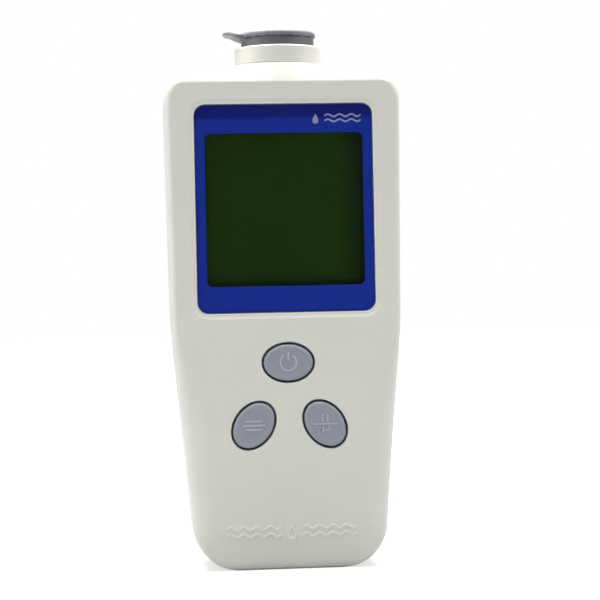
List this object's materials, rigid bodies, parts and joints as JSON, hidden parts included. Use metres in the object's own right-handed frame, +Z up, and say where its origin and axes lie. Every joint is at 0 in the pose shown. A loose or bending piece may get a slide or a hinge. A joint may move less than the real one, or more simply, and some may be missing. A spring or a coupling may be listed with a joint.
{
  "type": "handheld dissolved oxygen meter",
  "caption": "Handheld sealed water quality meter with a large display, oval keys, a rear battery door and a capped round probe port on top.",
  "frame": {"origin": "centre of the foot on the surface it stands on, midway between the front and the rear", "axes": "+Z up the housing towards the probe port, the display faces -Y, +X to the display's right as seen from the front"},
  "size_m": [0.0782, 0.0436, 0.181],
  "materials": {
    "shell_plastic": "moulded, fine texture",
    "seal_rubber": "matt",
    "window_clear": "clear gloss",
    "print_blue": "blue ink behind a clear window",
    "tape_black": "foam tape",
    "lcd_glass": "dark green, switched off",
    "holder_plastic": "moulded",
    "guide_acrylic": "polished",
    "strip_rubber": "soft, striped",
    "board_laminate": "solder mask",
    "chip_black": "moulded epoxy",
    "header_plastic": "moulded",
    "cap_rubber": "matt grey",
    "insulator_plastic": "moulded",
    "plated_metal": "nickel plate",
    "lead_red": "wire jacket",
    "lead_black": "wire jacket",
    "lead_grey": "wire jacket",
    "steel_screw": "zinc plate",
    "cell_jacket": "printed jacket",
    "key_rubber": "satin grey",
    "plunger_plastic": "moulded",
    "gold_pin": "gold plate"
  },
  "bodies": {
    "housing": {"front_shell": "shell_plastic", "rear_shell": "shell_plastic", "connector_collar": "shell_plastic", "shell_gasket": "seal_rubber", "neck_o_ring": "seal_rubber", "keypad_mat": "seal_rubber", "display_window": "window_clear", "window_print": "print_blue", "window_tape": "tape_black", "lcd_panel": "lcd_glass", "lcd_holder": "holder_plastic", "light_guide": "guide_acrylic", "contact_strip_lower": "strip_rubber", "contact_strip_upper": "strip_rubber", "main_board": "board_laminate", "processor": "chip_black", "battery_header": "header_plastic", "probe_header": "header_plastic", "socket_insulator": "insulator_plastic", "socket_shell": "plated_metal", "red_lead": "lead_red", "black_lead": "lead_black", "probe_lead": "lead_grey", "shell_screw_1": "steel_screw", "board_screw_1": "steel_screw", "cell_1": "cell_jacket", "shell_screw_2": "steel_screw", "board_screw_2": "steel_screw", "cell_2": "cell_jacket", "shell_screw_3": "steel_screw", "board_screw_3": "steel_screw", "cell_3": "cell_jacket", "shell_screw_4": "steel_screw", "board_screw_4": "steel_screw", "cell_4": "cell_jacket", "power_switch": "chip_black", "mode_switch": "chip_black", "hold_switch": "chip_black", "contact_upper_left": "plated_metal", "contact_upper_middle": "plated_metal", "contact_upper_right": "plated_metal", "contact_lower_left": "plated_metal", "contact_lower_right": "plated_metal", "socket_pin_1": "gold_pin", "socket_pin_2": "gold_pin", "socket_pin_3": "gold_pin"},
    "power_button": {"power_key": "key_rubber", "power_plunger": "plunger_plastic"},
    "mode_button": {"mode_key": "key_rubber", "mode_plunger": "plunger_plastic"},
    "hold_button": {"hold_key": "key_rubber", "hold_plunger": "plunger_plastic"},
    "cap": {"port_cap": "cap_rubber"},
    "door": {"battery_door": "shell_plastic", "door_seal": "seal_rubber", "door_screw_1": "steel_screw", "door_screw_2": "steel_screw", "door_screw_3": "steel_screw", "door_screw_4": "steel_screw"}
  },
  "joints": [
    {"name": "power_press", "type": "slide", "parent": "housing", "child": "power_button", "axis": [0, 1, 0], "range_m": [0, 0.0006], "stiffness_N_per_m": 1500},
    {"name": "mode_press", "type": "slide", "parent": "housing", "child": "mode_button", "axis": [0, 1, 0], "range_m": [0, 0.0006], "stiffness_N_per_m": 1500},
    {"name": "hold_press", "type": "slide", "parent": "housing", "child": "hold_button", "axis": [0, 1, 0], "range_m": [0, 0.0006], "stiffness_N_per_m": 1500},
    {"name": "cap_lift", "type": "slide", "parent": "housing", "child": "cap", "axis": [0, 0, 1], "range_m": [0, 0.04]},
    {"name": "door_lift", "type": "slide", "parent": "housing", "child": "door", "axis": [0, 1, 0], "range_m": [0, 0.03]}
  ]
}
